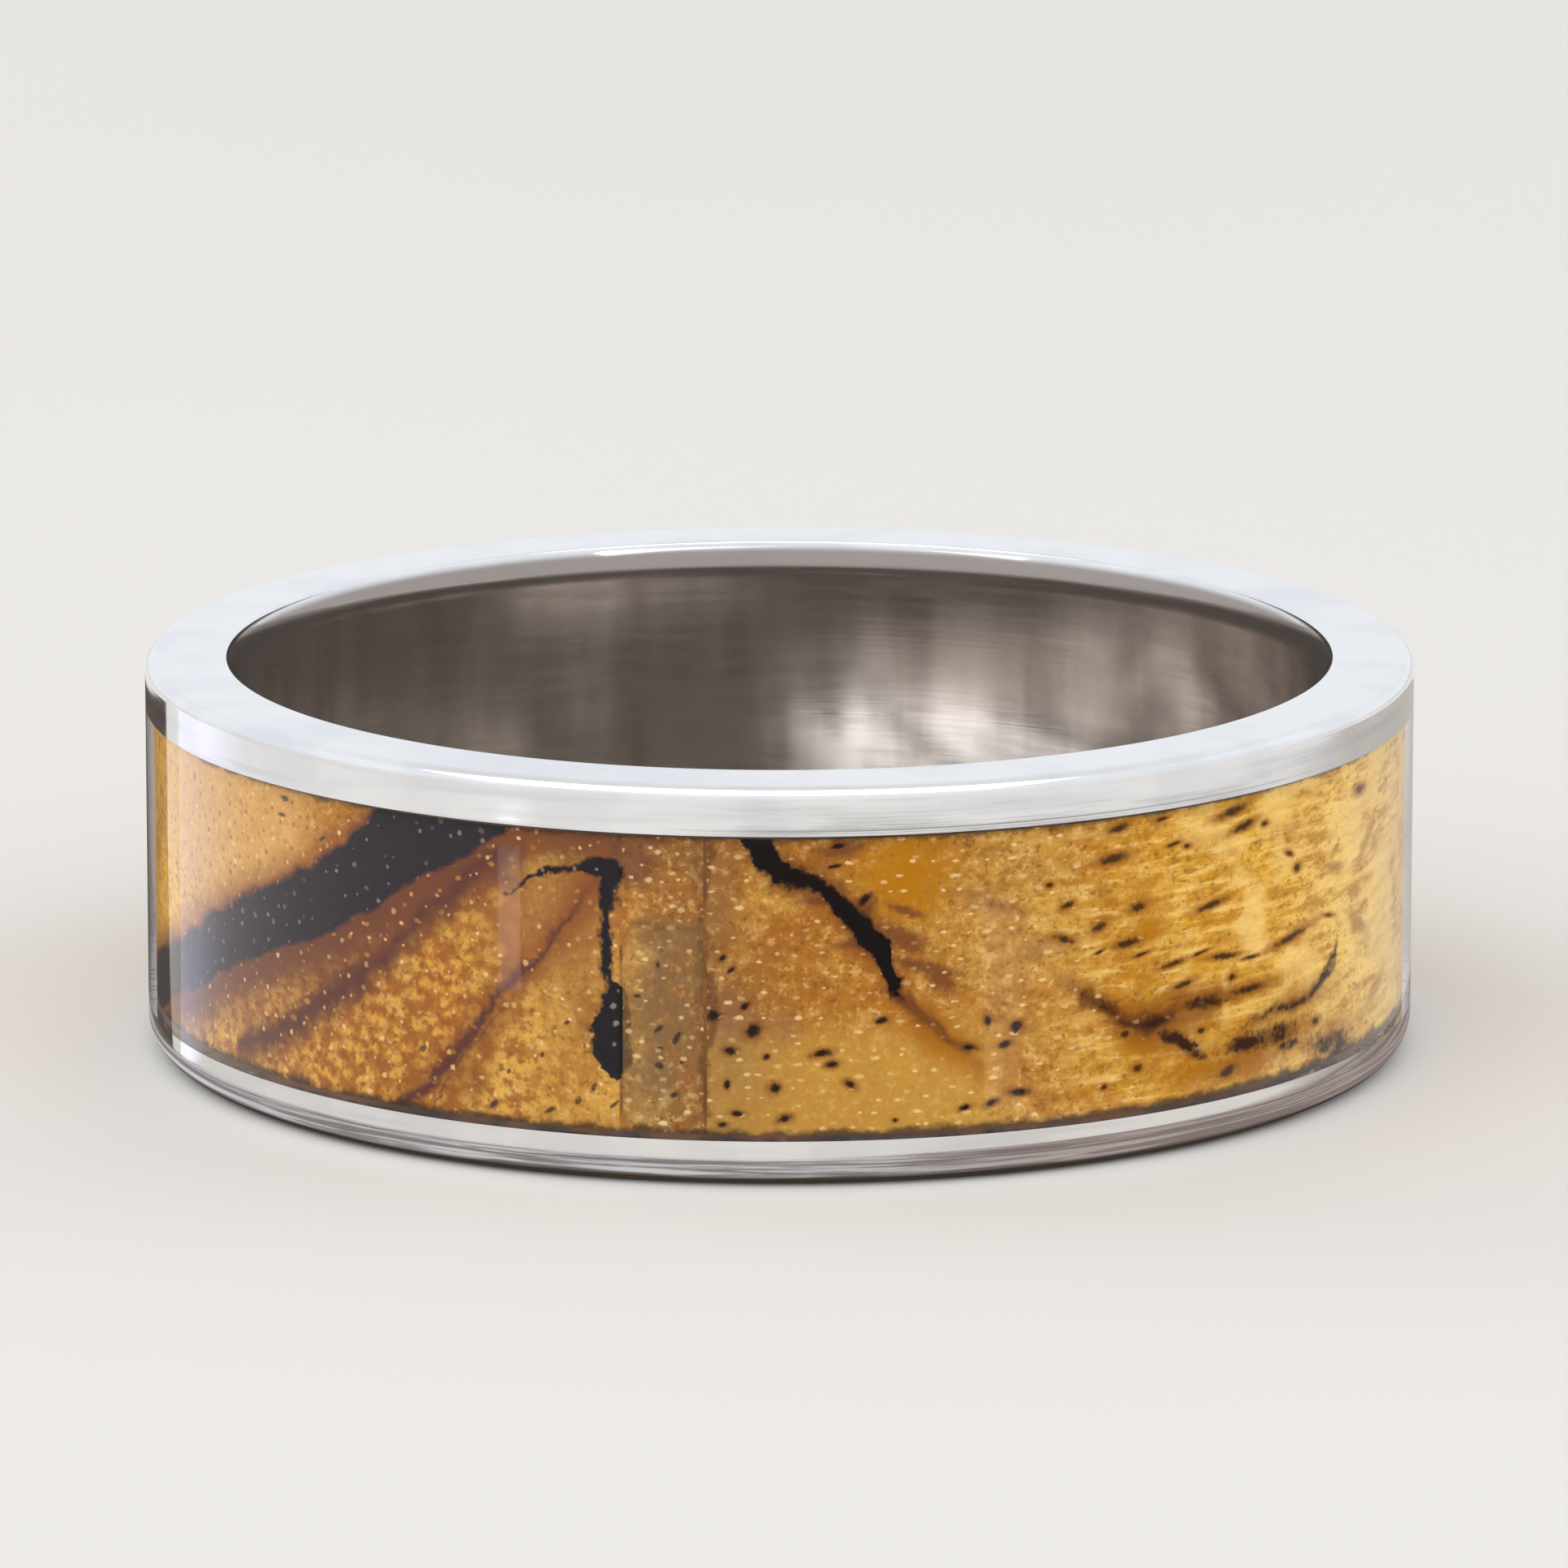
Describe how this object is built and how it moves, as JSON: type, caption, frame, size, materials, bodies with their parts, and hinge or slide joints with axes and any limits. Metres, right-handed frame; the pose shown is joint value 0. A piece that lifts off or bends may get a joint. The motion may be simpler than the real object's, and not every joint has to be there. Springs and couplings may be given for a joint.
{
  "type": "wedding band",
  "caption": "Polished white-metal finger ring with a recessed channel that holds a seamed ring of spalted wood under a clear coat.",
  "frame": {"origin": "centre of the finger bore, at half the band's width", "axes": "+Z along the finger bore; -Y towards the front of the ring, where the seam in the wood is; +X to the right of the front"},
  "size_m": [0.0226, 0.0224, 0.007],
  "materials": {
    "polished_metal": "mirror-polished white metal",
    "wood": "spalted golden-brown hardwood with black zone lines, cut across and along the grain",
    "adhesive": "cured dark adhesive",
    "clear_coat": "clear glossy resin, polished flush with the rails"
  },
  "bodies": {
    "root": {"band": "polished_metal", "bed_adhesive": "adhesive", "wood_left": "wood", "wood_key": "wood", "wood_right": "wood", "seam_glue_left": "adhesive", "seam_glue_key": "adhesive", "seam_glue_back": "adhesive", "clear_coat": "clear_coat"}
  },
  "joints": []
}
